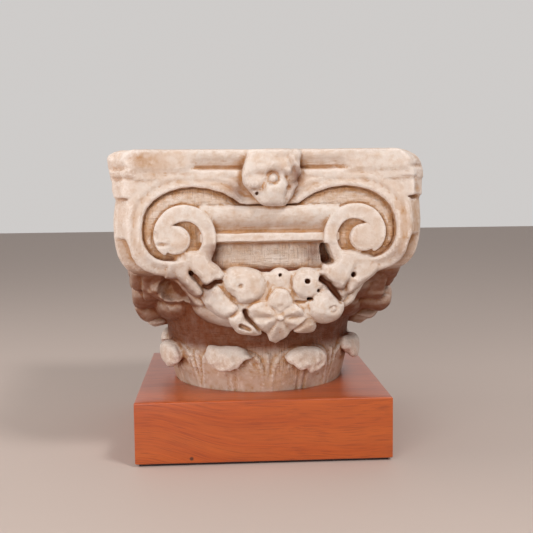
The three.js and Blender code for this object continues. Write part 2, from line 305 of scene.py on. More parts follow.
def strip(low, high):
    """Outline of a strip between the two scrolls."""
    return np.array([(-bar_half, low), (bar_half, low), (bar_half, high), (-bar_half, high)], np.float32)


def bar_face(a, z):
    """The bar's face: bowed as the block is, leaning back to its lower edge and eased at its upper one."""
    return 185.5 - 9.5 * ramp(340.0, 316.0, z) - 2.0 * ramp(344.0, 350.0, z) + 18.0 * (a / face_half) ** 2


raise_form(strip(317.5, 350.0), bar_face, 2.0, 0.3)
raise_form(strip(303.0, 314.0), lambda a, z: 183.0 + 18.0 * (a / face_half) ** 2, 1.2, 0.3)

scroll_band = np.concatenate([
    spiral_edge(spiral_outer, 0.2, 1.15),
    spiral_edge(spiral_inner, 0.2, 1.15)[::-1],
])
eye_turn = np.linspace(0.0, 2 * math.pi, 40, endpoint=False)
eye_outline = np.stack([
    19.0 * np.cos(eye_turn) - eye_across - 2.0, 18.5 * np.sin(eye_turn) + eye_level - 1.0], 1)
for flip in (np.array((1.0, 1.0)), mirror):
    raise_form(scroll_disc * flip, lambda a, z: front_face(a, z) - 7.5, 1.0, 0.3)
    raise_form(scroll_band * flip, lambda a, z: front_face(a, z) + 2.5, 2.2, 0.3)
    raise_form(eye_outline * flip, lambda a, z: front_face(a, z) + 2.5, 2.5, 1.0)

# The garland
def hanging(level):
    """How far the garland falls back towards its foot: a share of the squared way below its fruit."""
    return 0.0095 * np.maximum(0.0, 215.0 - level) ** 2


raise_rounded([
    (-120, 262), (-108, 240), (-92, 224), (-74, 208), (-56, 198), (-38, 184), (-14, 181), (4, 171),
    (20, 179), (48, 181), (70, 195), (92, 212), (110, 232), (128, 256), (90, 268), (0, 264), (-80, 268),
], lambda a, z: 182.5 - 0.0005 * a**2 - hanging(z), 9.0, 4.0, 0.3, 70.0)
raise_lump((2, 212), (104, 40), 50, 166, 8.0)
raise_lump((-96, 238), (34, 24), 44, 168, 6.0)
raise_lump((92, 238), (34, 24), 44, 168, 6.0)

# leaves that hang under the two scrolls, the left one first: a lobe behind, the lower lobe, the upper lobe
raise_rounded([
    (-136, 258), (-124, 245), (-110, 230), (-100, 218), (-90, 214), (-84, 222), (-90, 236), (-104, 250),
    (-118, 268),
], 171.0, 8.0, 2.0)
raise_rounded([
    (-120, 294), (-128, 278), (-127, 262), (-119, 249), (-108, 236), (-98, 229), (-91, 231), (-89, 240),
    (-93, 250), (-100, 258), (-104, 264), (-98, 276), (-96, 292),
], lambda a, z: 188.0 - 0.10 * np.abs((a + 108) * 0.66 + (z - 250) * 0.75) + 0.05 * (z - 262), 11.0, 1.5)
raise_rounded([
    (-118, 294), (-110, 278), (-103, 266), (-95, 256), (-88, 247.5), (-82, 245), (-76, 247), (-73, 251),
    (-69, 249), (-64, 251), (-62, 255), (-57, 257), (-58, 262), (-62, 266), (-69, 273), (-78, 281),
    (-84, 292),
], lambda a, z: 192.0 - 0.004 * (a + 90) ** 2 - 0.003 * (z - 272) ** 2, 9.0, 3.0)
raise_rounded([
    (140, 262), (131, 244), (121, 229), (115, 218), (105, 211), (97, 210), (96, 218), (103, 228),
    (112, 240), (120, 258),
], 172.0, 8.0, 2.0)
raise_rounded([
    (152, 270), (143, 255), (131, 246), (120, 238), (110, 230), (104, 230), (101, 240), (100, 252),
    (104, 268), (106, 290), (136, 286),
], lambda a, z: 187.0 + 0.10 * (z - 252) - 0.0015 * (a - 118) ** 2, 11.0, 1.5)
raise_rounded([
    (124, 292), (120, 276), (112, 262), (106, 250), (100, 237), (92, 235), (86, 239), (82, 245),
    (77, 248), (72, 253), (66, 257), (64, 262), (68, 265), (69, 271), (76, 274), (86, 277), (92, 290),
], lambda a, z: 192.0 - 0.004 * (a - 96) ** 2 - 0.003 * (z - 272) ** 2, 9.0, 3.0)

# fruit, from the left to the right
raise_rounded([
    (-88, 240), (-76, 249), (-66, 249), (-58, 240), (-48, 229), (-37, 219), (-46, 204), (-60, 197),
    (-72, 202), (-84, 212), (-92, 225),
], lambda a, z: 187.0 - 0.012 * ((a + 68) * 0.75 + (z - 224) * 0.66) ** 2 - hanging(z), 13.0, 1.0, 0.2)
raise_rounded([
    (-56, 270), (-36, 272), (-14, 266), (-3, 254), (-2, 239), (-11, 225), (-25, 218), (-40, 219),
    (-53, 229), (-63, 241), (-67, 256),
], lambda a, z: 192.0 - 0.0055 * ((a + 34) ** 2 + (z - 245) ** 2), 14.0)
raise_rounded([
    (0, 262), (12, 268), (25, 264), (30, 254), (27, 242), (16, 237), (4, 240), (-3, 251),
], lambda a, z: 184.0 - 0.01 * ((a - 13) ** 2 + (z - 252) ** 2), 8.0, 0.8, 0.1)
round_turn = np.linspace(0.0, 2 * math.pi, 28, endpoint=False)
for across_at, level_at, radius, top_at, soft in (
    (49, 246, 23.5, 190.0, 8.0), (75, 214, 26.0, 191.0, 9.0), (67, 236, 7.0, 180.0, 5.0),
    (25, 236, 5.0, 183.0, 4.0), (33, 232, 4.0, 182.0, 3.0),
):
    circle = np.stack([across_at + radius * np.cos(round_turn), level_at + radius * np.sin(round_turn)], 1)
    raise_form(
        circle,
        lambda a, z: top_at - 0.30 / radius * ((a - across_at) ** 2 + (z - level_at) ** 2) - hanging(z),
        soft, 0.8, 60.0, 0.2)

# the flower at the bottom: folded petals that meet in creases, under a bud
rosette = [
    (-30, 214), (-24, 221), (-10, 224), (12, 226), (34, 220), (42, 211), (51, 200), (40, 190),
    (29, 180), (21, 170), (9, 162), (0, 167), (-5, 181), (-17, 187), (-26, 197), (-35, 207),
]
rosette = np.array([point for edge in zip(rosette, rosette[1:] + rosette[:1])
                    for point in (edge[0], ((edge[0][0] + edge[1][0]) / 2, (edge[0][1] + edge[1][1]) / 2))])
fold_angle = (-2, 22, 50, 130, 158, 180, 200, 222, 238, 252, 272, 290, 305, 335, 358)
fold_rise = (-1.0, 1.0, -0.3, -0.3, 0.8, -1.0, 0.8, 0.2, -1.0, 0.7, -0.1, 0.7, -1.0, 0.8, -1.0)


def rosette_face(a, z):
    """The rosette's face: ridges and creases by the angle round its middle, fading in near it."""
    angle = np.mod(np.degrees(np.arctan2(z - 201.5, a - 12.0)) + 2.0, 360.0) - 2.0
    away = np.hypot(a - 12.0, z - 201.5)
    return 186.0 + 2.6 * np.interp(angle, fold_angle, fold_rise) * ramp(3.0, 20.0, away) - hanging(z)


raise_form(rosette, rosette_face, 3.0, 0.5, 60.0, 0.15)
raise_rounded([
    (-7, 218), (-4, 230), (4, 239), (12, 242), (22, 238), (29, 229), (32, 217), (22, 212), (13, 207),
    (2, 212),
], lambda a, z: (189.5 - 0.010 * (a - 13) ** 2 - 0.12 * np.maximum(222.0 - z, 0.0)
                 - 0.002 * (z - 228) ** 2), 6.0, 0.6)
raise_rounded([
    (8, 203.5), (12, 205.5), (16, 203.5), (17, 200), (13, 197), (8, 199),
], 188.0, 3.0, 1.0, 0.0, 20.0)
raise_rounded([
    (-58, 201), (-50, 207), (-40, 213), (-34, 209), (-33, 200), (-24, 193), (-15, 187), (-9, 178),
    (-16, 174), (-30, 175), (-43, 178), (-51, 186),
], lambda a, z: 187.0 - 0.012 * ((a + 36) * 0.6 + (z - 190) * 0.8) ** 2 - hanging(z), 8.0, 0.8, 0.25)
raise_rounded([
    (50, 200), (60, 194), (64, 186), (61, 177), (50, 175), (38, 176), (31, 180), (41, 190),
], lambda a, z: 183.0 - 0.3 * from_line([(36, 179), (58, 190)], a, z) - hanging(z), 6.0, 0.8, 0.25)
raise_rounded([
    (96, 236), (104, 236), (106, 228), (98, 220), (90, 224), (90, 232),
], 175.0, 4.0, 1.0, 0.0, 30.0)

# drill holes and cuts of the garland
for across_at, level_at, radius, out_at, depth in (
    (13, 258, 2.6, 184, 12), (49, 249.5, 3.4, 190, 14), (111, 256.5, 3.8, 188, 18),
    (-104, 263.5, 4.0, 188, 18), (51, 225, 2.6, 180, 16), (55, 225, 2.2, 180, 14),
    (-39, 245, 3.0, 192, 3), (-35, 210, 2.2, 182, 12),
):
    drill(across_at, level_at, radius, out_at, depth)
cut_shape([(68, 297), (76, 299), (80, 290), (86, 276), (80, 271), (71, 272), (69, 284)], 146.0, 0.05)
cut_line([(-103, 262), (-98, 255), (-92, 248), (-89, 243)], 1.2, 177.0, 0.8)
cut_line([(-88, 245), (-83, 243), (-78, 246), (-72, 250.5), (-66, 251)], 1.5, 172.0, 0.75)
cut_line([(69, 251.5), (73, 248), (78, 244), (85, 236), (93, 226), (96, 222)], 1.9, 167.0, 0.8)
cut_line([(-40, 190), (-33, 187), (-27, 184)], 1.2, 171.5, 0.7)
cut_line([(-34, 210), (-31, 202), (-23, 193), (-16, 185), (-9, 175)], 1.2, 169.0, 0.75)
cut_line([(128, 244), (118, 237), (110, 230)], 1.2, 180.0, 0.6)
cut_line([(-62, 244), (-56, 230), (-44, 218)], 0.7, 181.5, 0.8)
cut_line([(-3, 250), (-1, 238), (-5, 226)], 0.6, 181.5, 0.8)
cut_line([(27, 262), (28, 250), (29, 240), (34, 230)], 0.6, 180.5, 0.8)
cut_line([(34, 222), (44, 220.5), (52, 223)], 0.8, 178.0, 0.8)
drill(64, 236, 2.2, 182, 7)
ring = [(84 + 4.6 * math.cos(turn), 211 + 4.6 * math.sin(turn)) for turn in np.linspace(0, 2 * math.pi, 14)]
cut_line(ring, 1.0, lambda a, z: 189.0 - 0.30 / 25 * ((a - 75) ** 2 + (z - 214) ** 2), 0.8)

# The flower on the middle of the abacus
def flower_face(a, z):
    """The flower's face: a leaning plane, swollen lobes, and creases that deepen near their lines."""
    face = 204.0 - 0.0045 * (a - 2) ** 2 - 0.003 * (z - 388.0) ** 2
    fold_level = 395.5 - 0.009 * (a - 3) ** 2 + 1.5 * np.sin(0.16 * a)
    above = ramp(-2.0, 7.0, z - fold_level)
    face += 1.4 * above - 1.2 * (1.0 - above) * ramp(-14.0, -3.0, z - fold_level)
    face -= 1.3 * hump(z - fold_level + 3.0, 3.2) * ramp(30.0, 14.0, np.abs(a - 3))
    left = from_line([(-8, 380), (-14, 368), (-20, 356)], a, z)
    face -= 4.5 * hump(left, 4.5)
    broken = from_line([(21, 386), (25, 374), (20, 362), (21, 350)], a, z)
    face -= 4.5 * hump(broken, 3.5)
    face += 4.5 * hump(a - 5, 15, z - 370, 14)
    face += 3.0 * hump(a + 25, 9, z - 379, 8)
    face += 2.0 * hump(a + 12, 12, z - 404, 8)
    face -= 2.0 * hump(a - 14, 9, z - 412, 7)
    knob = np.hypot(a - 3, z - 386)
    face += 5.5 * np.clip(1 - (knob / 5.4) ** 2, 0, 1) ** 0.5 - 3.0 * hump(knob - 7.2, 2.2)
    return face - 2.0 * ramp(22.0, 31.0, a) * ramp(416.0, 404.0, z)


raise_rounded([
    (-24, 424), (-31, 413), (-35, 402), (-37, 390), (-35, 378), (-28, 369), (-19, 359), (-10, 350.5),
    (6, 349), (20, 350), (25, 357), (32, 369), (37, 380), (41, 394), (40, 406), (36, 424),
], flower_face, 6.0, 0.8, 0.05)
drill(-18, 366, 2.4, 200, 10)

# The same carving goes round: mirrored on the two sides that are hidden in part.
band = np.full_like(stone, empty)
band[:, :len(out_grid), :] = side_carving
for turn in range(4):
    stone = np.maximum(stone, np.rot90(band[::-1] if turn % 2 else band, turn, axes=(0, 1)))
del band

# The bell and its leaves
x_all, y_all = across_grid[:, None, None], across_grid[None, :, None]
z_all = level_grid[None, None, :]
from_axis = np.hypot(x_all, y_all)
bell_radius = np.interp(level_grid, (60, 88, 110, 135, 168, 200, 230, 262, 300),
                        (121, 123, 129, 135, 138, 146, 155, 166, 168)).astype(np.float32)
bell = np.minimum(bell_radius - from_axis, abacus_under - z_all)
leaf_count = 8
leaf_angle = 2 * math.pi / leaf_count
angle = np.arctan2(y_all, x_all)
off_leaf = (np.mod(angle, leaf_angle) - leaf_angle / 2) * 126.0
plate_half = np.interp(level_grid, (60, 96, 108, 120, 130, 137, 143, 149, 153, 156),
                       (48, 48, 46, 44.5, 42, 39, 34, 26, 14, -6))
edge_gap = plate_half - np.abs(off_leaf)
plate = bell_radius + 2.4 + 1.5 * hump(edge_gap - 3.6, 2.6) - from_axis
rib_gap = np.abs(np.abs(off_leaf) - 5.0 - 0.02 * (z_all - 90.0)) - 1.2
plate = plate - 1.2 * hump(np.maximum(rib_gap, 0.0), 1.2) * ramp(125.0, 110.0, z_all)
bell = np.maximum(bell, np.minimum(plate, edge_gap * 0.9))
stem_gap = leaf_angle * 63.0 - np.abs(off_leaf)
stem = np.minimum(bell_radius + 3.0 - from_axis - 0.18 * stem_gap**2, 4.0 - stem_gap)
stem = np.minimum(stem, 143.0 - z_all)
bell = soft_join(bell, stem, 2.0)
stone = np.maximum(stone, bell)
del bell, plate, stem, stem_gap, edge_gap, rib_gap, off_leaf, angle

tip_outlines = (
    [
        (-35, 140), (-33, 149), (-28, 155), (-10, 154), (3, 156), (20, 153), (28, 147), (36, 140),
        (26, 135), (20, 127), (12, 121), (3, 118), (-10, 118), (-21, 124), (-31, 133),
    ],
    [
        (-34, 140), (-25, 147), (-9, 152), (9, 151), (23, 146), (31, 138), (32, 130), (26, 120),
        (14, 114), (6, 112), (-4, 116), (-18, 123), (-30, 131),
    ],
)
k = part_of(level_grid, 106.0, 164.0)
for number in range(leaf_count):
    middle = (number + 0.5) * leaf_angle
    out_at = x_all * math.cos(middle) + y_all * math.sin(middle)
    aside = -x_all * math.sin(middle) + y_all * math.cos(middle)
    near = ((out_at > 112) & (out_at < 162) & (np.abs(aside) < 42))[:, :, 0]
    rows, columns = np.nonzero(near)
    i, j = slice(rows.min(), rows.max() + 1), slice(columns.min(), columns.max() + 1)
    o, s = out_at[i, j], aside[i, j]
    tip_outline = smooth_outline(tip_outlines[(number + 1) % 2], 3)
    side_line = np.arange(-48.0, 48.1, 1.0, dtype=np.float32)
    table = inside_by(tip_outline, *np.meshgrid(side_line, level_grid[k], indexing="ij"))
    place = np.clip((s[:, :, 0] + 48.0), 0.0, 95.99)
    whole = place.astype(int)
    part = (place - whole)[:, :, None]
    side = table[whole] * (1.0 - part) + table[whole + 1] * part
    lip_level = level_grid[k]
    high = np.maximum(lip_level - 138.0, 0.0)
    low = np.maximum(134.0 - lip_level, 0.0)
    face = 157.5 - 0.009 * s**2 - 0.022 * high**2 - 0.012 * low**2
    under = 0.5 * ramp(150.0, 128.0, lip_level)
    lip = rounded_meet(side - under * np.maximum(face - o, 0.0), face - o, 6.0)
    lip = np.where(o > 112, lip, empty)
    stone[i, j, k] = soft_join(stone[i, j, k], lip.astype(np.float32), 1.2)

# The abacus, hollow-sided, with a rounded upper band, a groove and a flat lower band
inset_levels = abacus_under + np.array((-2, 1, 11, 12, 15.5, 16.5, 21, 27, 31, 38))
inset_steps = (4.6, 4.6, 4.2, 11.5, 11.5, 8.5, 6.2, 1.6, 0.2, 0.6)
inset = np.interp(level_grid, inset_levels, inset_steps).astype(np.float32)
worn_inset = np.interp(level_grid, (abacus_under + 8, abacus_under + 14), (4.8, 2.4)).astype(np.float32)
slab = np.full_like(stone, 60.0)
for turn in range(4):
    across, out = (x_all, -y_all) if turn % 2 == 0 else (y_all, x_all)
    out = out if turn < 2 else -out
    worn = ramp(86.0, 112.0, np.abs(across))
    edge = 208.0 - 18.0 * (1 - np.clip(np.abs(across) / 188.0, 0, 1) ** 2) - out
    edge = edge - inset * (1 - worn) - worn_inset * worn + 3.4 * ramp(130.0, 185.0, np.abs(across))
    slab = np.minimum(slab, edge)
slab = rounded_meet(slab, 280.6 - (np.abs(x_all) + np.abs(y_all)) / math.sqrt(2.0) - 0.5 * inset, 4.0)
corner_wear = ramp(235.0, 280.0, (np.abs(x_all) + np.abs(y_all)) / math.sqrt(2.0))
slab = rounded_meet(slab, top_level - z_all - corner_wear, 3.0)
slab = np.minimum(slab, z_all - abacus_under + 1.0)
stone = soft_join(stone, slab.astype(np.float32), 1.5)
del slab


def gouge(middle, half):
    """Takes a rounded hollow out of the stone: its middle across, out and up, and its half sizes."""
    i = part_of(across_grid, middle[0] - half[0] - 4.0, middle[0] + half[0] + 4.0)
    j = part_of(across_grid, -middle[1] - half[1] - 4.0, -middle[1] + half[1] + 4.0)
    k = part_of(level_grid, middle[2] - half[2] - 4.0, middle[2] + half[2] + 4.0)
    share = np.sqrt(((x_all[i] - middle[0]) / half[0]) ** 2 + ((y_all[:, j] + middle[1]) / half[1]) ** 2
                    + ((z_all[:, :, k] - middle[2]) / half[2]) ** 2)
    kept = (share - 1.0) * min(half)
    stone[i, j, k] = -soft_join(-stone[i, j, k], -kept.astype(np.float32), 2.0)


# The front corners are worn round; each has its own outline, seen from the front.
for hand, diagonal, soft, levels, reaches in (
        (1, 277.5, 26.0,
         (258, 265, 275, 290, 306, 334, 351, 356, 360, 363, 366, 392, 400, 409, 416, 420, 424),
         (184, 190, 199, 203.5, 206, 207.5, 206.5, 204.5, 202, 204.5, 207, 207, 204.5, 200, 192, 183, 168)),
        (-1, 279.8, 20.0,
         (330, 340, 355, 360, 364, 370, 380, 388, 394, 398, 402, 407, 412, 418, 422, 424),
         (206, 203, 200.5, 199, 201, 203, 204, 205, 207, 206, 209, 210.5, 210, 205, 197, 184))):
    i = part_of(across_grid, *((120.0, 220.0) if hand > 0 else (-220.0, -120.0)))
    j = part_of(across_grid, -220.0, -120.0)
    along = (hand * x_all[i] - y_all[:, j]) / math.sqrt(2.0)
    worn_round = rounded_meet(diagonal - along + 0 * z_all, top_level - z_all + 0 * along, soft)
    stone[i, j] = np.minimum(stone[i, j], worn_round)
    reach = np.interp(level_grid, levels, reaches).astype(np.float32)
    reach = reach + 14.0 * ramp(-160.0, -122.0, y_all[:, j])
    stone[i, j] = -soft_join(-stone[i, j], -(reach - hand * x_all[i]).astype(np.float32), 3.0)
for middle, half in (
    ((-204, 200, 399), (7, 8, 3)), ((-198, 201, 386), (12, 13, 4.5)), ((-195, 201, 360), (14, 14, 3)),
    ((195, 201, 360), (14, 14, 2.6)), ((-187, 213, 411), (16, 7, 6)), ((-166, 212, 405), (20, 6, 7)),
    ((-150, 207, 386), (32, 5, 2.0)), ((-178, 209, 387), (16, 6, 2.4)), ((-50, 190, 386), (13, 5, 1.8)),
    ((58, 191, 386.5), (14, 5, 2.0)), ((-105, 203, 403), (14, 6, 2.8)), ((60, 196, 405), (20, 8, 4.5)),
    ((176, 207, 386), (18, 6, 2.4)), ((120, 202, 419), (32, 6, 6)), ((-112, 201, 421), (28, 6, 4)),
    ((-70, 196, 406), (34, 7, 4.5)), ((72, 194, 405), (16, 7, 4)), ((-139, 199, 301), (10, 5, 4)),
    ((-149, 200, 313), (4, 5, 7)), ((-128, 198, 294), (7, 4, 3)), ((-128, 138, 232), (24, 36, 27)),
    ((36, 203, 362), (6, 7, 7)), ((41, 204, 384), (6, 8, 8)), ((24, 203, 373), (4, 6, 2.5)),
    ((34, 204, 400), (4, 6, 5)), ((-20, 203, 371), (8, 5, 2.2)), ((155, 205, 372), (20, 4, 3)),
    ((-120, 203, 396), (18, 4, 2.4)), ((186, 206, 330), (4, 4, 12)),
):
    gouge(middle, half)
between_beds = np.minimum(top_level - 0.2 - z_all, z_all - foot_level - 0.1)
stone = np.minimum(stone, between_beds)


def lattice_field(cell, seed):
    """Smooth noise over the grid: random values on a wide lattice, read between by a cubic weight."""
    draw = np.random.default_rng(seed)
    axes = []
    for grid in (across_grid, across_grid, level_grid):
        place = (grid - grid[0]) / cell + 2.0
        count = int(place[-1]) + 4
        gap = np.abs(place[:, None] - np.arange(count)[None, :])
        weight = np.where(gap < 1, 2 / 3 - gap**2 + gap**3 / 2, np.where(gap < 2, (2 - gap) ** 3 / 6, 0.0))
        axes.append(weight.astype(np.float32))
    lattice = draw.uniform(-1.0, 1.0, [axis.shape[1] for axis in axes]).astype(np.float32)
    field = np.tensordot(axes[0], lattice, (1, 0))
    field = np.tensordot(field, axes[1], (1, 1))
    return np.tensordot(field, axes[2], (1, 1))


stone += 1.3 * lattice_field(34.0, 11) + 0.8 * lattice_field(13.0, 12) + 0.5 * lattice_field(6.0, 13)
broken_skin = lattice_field(4.6, 14)
for middle, half, rough in (
    ((33, 200, 390), (12, 20, 26), 10.0), ((2, 206, 412), (34, 14, 12), 3.5),
    ((-140, 196, 302), (10, 10, 8), 2.0), ((-200, 200, 400), (26, 24, 34), 4.5),
    ((200, 200, 396), (22, 22, 34), 3.0), ((-53, 140, 132), (36, 24, 20), 6.0),
    ((52, 140, 128), (34, 24, 20), 6.0), ((-120, 90, 136), (30, 40, 26), 5.0),
    ((120, 90, 134), (30, 40, 26), 5.0), ((-150, 120, 225), (40, 60, 34), 3.0),
    ((150, 120, 225), (40, 60, 34), 3.0), ((10, 185, 200), (70, 20, 40), 2.8),
    ((-80, 185, 245), (50, 20, 30), 3.0), ((80, 185, 248), (50, 20, 30), 3.0),
):
    near = hump(x_all - middle[0], half[0]) * hump(y_all + middle[1], half[1])
    near = near * hump(z_all - middle[2], half[2])
    stone += (rough * near).astype(np.float32) * broken_skin
del broken_skin, near
stone = np.minimum(stone, between_beds)


def draw_skin(depth):
    """Skin of a grid of depths: a vertex in each mixed cell, at the mean of its edges' zero points, and
    a quad round each grid edge whose ends differ."""
    solid = depth > 0.0
    count = [n - 1 for n in depth.shape]
    corners = [(a, b, c) for a in (0, 1) for b in (0, 1) for c in (0, 1)]
    total = np.zeros(count, np.uint8)
    for a, b, c in corners:
        total += solid[a:a + count[0], b:b + count[1], c:c + count[2]]
    cells = np.argwhere((total > 0) & (total < 8)).astype(np.int32)
    number = np.full(count, -1, np.int32)
    number[tuple(cells.T)] = np.arange(len(cells), dtype=np.int32)
    value = {corner: depth[tuple((cells + corner).T)] for corner in corners}
    place, hits = np.zeros((len(cells), 3), np.float32), np.zeros((len(cells), 1), np.float32)
    for first in corners:
        for axis in range(3):
            if first[axis]:
                continue
            last = tuple(1 if n == axis else first[n] for n in range(3))
            a, b = value[first], value[last]
            crossed = (a > 0) != (b > 0)
            share = np.where(crossed, a / np.where(crossed, a - b, 1.0), 0.0)
            point = np.tile(np.array(first, np.float32), (len(cells), 1))
            point[:, axis] += share
            place += point * crossed[:, None]
            hits += crossed[:, None]
    vertices = cells + place / hits
    quads = []
    for axis in range(3):
        b_axis, c_axis = (axis + 1) % 3, (axis + 2) % 3
        starts = np.argwhere(np.diff(solid, axis=axis)).astype(np.int32)
        outward = solid[tuple(starts.T)]
        ring = []
        for b_step, c_step in ((1, 1), (0, 1), (0, 0), (1, 0)):
            cell = starts.copy()
            cell[:, b_axis] -= b_step
            cell[:, c_axis] -= c_step
            ring.append(number[tuple(cell.T)])
        quad = np.stack(ring, 1)
        quads.append(np.where(outward[:, None], quad, quad[:, ::-1]))
    return vertices, np.concatenate(quads)


def mesh_from(name, vertices, faces):
    """Mesh of the arrays: vertices in metres and faces of equal size."""
    sides = faces.shape[1]
    mesh = bpy.data.meshes.new(name)
    mesh.vertices.add(len(vertices))
    mesh.vertices.foreach_set("co", np.asarray(vertices, np.float32).ravel())
    mesh.loops.add(faces.size)
    mesh.loops.foreach_set("vertex_index", faces.astype(np.int32).ravel())
    mesh.polygons.add(len(faces))
    mesh.polygons.foreach_set("loop_start", np.arange(0, faces.size, sides, dtype=np.int32))
    mesh.polygons.foreach_set("use_smooth", np.ones(len(faces), bool))
    mesh.update(calc_edges=True)
    mesh.validate()
    return mesh


vertices, quads = draw_skin(stone)
vertices = vertices * voxel + (across_grid[0], across_grid[0], level_grid[0])
c, s = math.cos(turn_in_seat), math.sin(turn_in_seat)
x, y, z = vertices.T
turned = np.stack([x * c - y * s, x * s + y * c, z], 1)
raw = put_in("capital_raw", mesh_from("capital_raw", turned / 1000, quads))
hidden = raw.vertex_groups.new(name="hidden")
at_back = vertices[:, 1] > -70.0
hidden.add(np.nonzero(at_back)[0].tolist(), 1.0, "REPLACE")
soften = raw.modifiers.new("soften", "SMOOTH")
soften.factor = 0.4
soften.iterations = 1
thin_hidden = raw.modifiers.new("thin_hidden", "DECIMATE")
thin_hidden.vertex_group = "hidden"
thin_hidden.ratio = (1.0 - float(at_back.mean())) + 70000 / (2 * len(quads))
thin = raw.modifiers.new("thin", "DECIMATE")
thin.ratio = 197000 / (2 * len(quads) * thin_hidden.ratio)
seen = raw.evaluated_get(bpy.context.evaluated_depsgraph_get())
capital_mesh = bpy.data.meshes.new_from_object(seen)
capital_mesh.name = "carved_capital"
bpy.data.objects.remove(raw)
capital = put_in("carved_capital", capital_mesh)

# How hollow the stone is round each vertex, from the share of solid stone near it
solid = (stone > 0).astype(np.float32)


def box_mean(field, half):
    """Mean over a cube round each place: a running sum along each axis in turn."""
    for axis in range(3):
        pad = [(half + 1, half) if n == axis else (0, 0) for n in range(3)]
        run = np.cumsum(np.pad(field, pad, mode="edge"), axis=axis, dtype=np.float64)
        size = field.shape[axis]
        high = np.take(run, np.arange(2 * half + 1, 2 * half + 1 + size), axis=axis)
        low = np.take(run, np.arange(size), axis=axis)
        field = ((high - low) / (2 * half + 1)).astype(np.float32)
    return field


points = np.empty(len(capital_mesh.vertices) * 3, np.float32)
capital_mesh.vertices.foreach_get("co", points)
points = points.reshape(-1, 3) * 1000
x, y, z = points.T
local = np.stack([x * c + y * s, -x * s + y * c, z], 1)
cell = np.rint((local - (across_grid[0], across_grid[0], level_grid[0])) / voxel).astype(int)
cell = np.clip(cell, 0, np.array(stone.shape) - 1)
# how far each face turns down, for the painted shade on undersides
facing = np.empty(len(points) * 3, np.float32)
capital_mesh.vertex_normals.foreach_get("vector", facing)
underside_shade = ramp(0.15, 0.75, -facing.reshape(-1, 3)[:, 2])
near_share = box_mean(solid, 3)[tuple(cell.T)]
wide_share = box_mean(solid, 10)[tuple(cell.T)]
del solid, stone

# Stains, wear and painted light: brown where dirt lies deep and rain never came, and painted shade in the
# deep hollows, under the garland, on undersides, on the side faces and in cast shadows; ochre in grooves;
# pale on the worn edges and a scratch, a painted highlight on the left front corner, and lighter patches on
# the right corner and the leaf tips.
a_at, o_at, z_at = local[:, 0], -local[:, 1], local[:, 2]
axis_at = np.hypot(a_at, o_at)
bell_at = np.interp(z_at, level_grid, bell_radius)
on_bell = ramp(9.0, 3.0, axis_at - bell_at)
# painted shade with some dirt: the bell darker just below the garland, where its shadow falls
dirt_and_shade_under_garland = on_bell * ramp(134.0, 158.0, z_at) * ramp(285.0, 262.0, z_at)
# painted shade and dirt: darker in the deep hollows, most of all low down
dirt_and_shade = dirt_and_shade_under_garland + 0.55 * ramp(0.60, 0.80, wide_share) * ramp(290.0, 262.0, z_at)
dirt_and_shade += 0.45 * ramp(0.66, 0.9, wide_share) + 0.4 * ramp(0.68, 0.9, near_share)
# painted shade: faces that turn down are darker below the volutes
dirt_and_shade += 0.4 * underside_shade * ramp(275.0, 255.0, z_at)
on_front = ramp(120.0, 150.0, o_at) * ramp(30.0, 0.0, np.abs(a_at) - o_at)
# painted shade: the side faces darker and warmer at the height of the garland
dirt_and_shade += 0.55 * (1.0 - on_front) * ramp(272.0, 250.0, z_at) * ramp(168.0, 190.0, z_at)
ochre = 0.9 * ramp(0.535, 0.66, near_share) + 0.5 * ramp(0.53, 0.62, wide_share)
tooled = on_front * ramp(300.0, 296.0, z_at) * ramp(262.0, 270.0, z_at) * ramp(92.0, 84.0, np.abs(a_at))
tooled *= ramp(176.0, 172.0, o_at)
dirt_and_shade *= 1.0 - 0.75 * tooled * ramp(64.0, 54.0, np.abs(a_at))
ochre *= 1.0 - 0.4 * tooled
sunk_at = inside_by(sunk_outline, a_at, z_at) * on_front * ramp(290.0, 300.0, z_at)
on_bar = ramp(353.0, 351.0, z_at) * ramp(97.0, 93.0, np.abs(a_at))
below_face = o_at - front_face(a_at, z_at)
ochre += (0.32 * ramp(0.5, 3.0, sunk_at) * ramp(-0.8, -2.6, below_face) + 0.4 * ramp(9.0, 1.0, sunk_at)
          * ramp(-2.0, -4.5, below_face)) * (1.0 - on_bar)
tooled = np.maximum(tooled, 0.7 * ramp(0.5, 3.0, sunk_at) * ramp(-0.8, -2.6, below_face) * (1.0 - on_bar))
tooled = np.maximum(tooled, 0.6 * on_bell * ramp(100.0, 130.0, z_at))
# painted cast shadows and dark gaps, with some dirt: beside the flower, under the fillet and bar, beside
# the right scroll, under the volutes and in the garland's notches
shadow_and_dirt_spots = (
    (35, 389, 9, 16, 0.75), (8, 392, 16, 5, 0.45), (-22, 372, 10, 10, 0.4), (-44, 366, 12, 18, 0.55),
    (0, 352, 22, 3, 0.5), (28, 366, 10, 14, 0.35), (170, 285, 16, 14, 0.35), (-72, 288, 8, 14, 0.35),
    (-128, 232, 34, 30, 0.9), (60, 286, 14, 14, 0.7), (-76, 290, 10, 10, 0.5), (0, 299, 80, 2.5, 0.6),
    (0, 324, 80, 5, 0.35), (90, 236, 16, 14, 0.5), (-82, 238, 10, 10, 0.4),
)
ochre_spots = (
    (-168, 411, 12, 8, 0.9), (-150, 405, 26, 9, 0.45), (-178, 330, 10, 50, 0.35),
    (-184, 395, 16, 10, 0.4), (176, 340, 10, 30, 0.45), (182, 300, 14, 26, 0.5), (-60, 371, 26, 8, 0.5),
    (70, 371, 30, 8, 0.4), (0, 292, 80, 9, 0.1), (-104, 306, 10, 16, 0.5), (108, 300, 9, 14, 0.5),
    (0, 120, 120, 30, 0.25), (52, 184, 14, 8, 0.2),
)
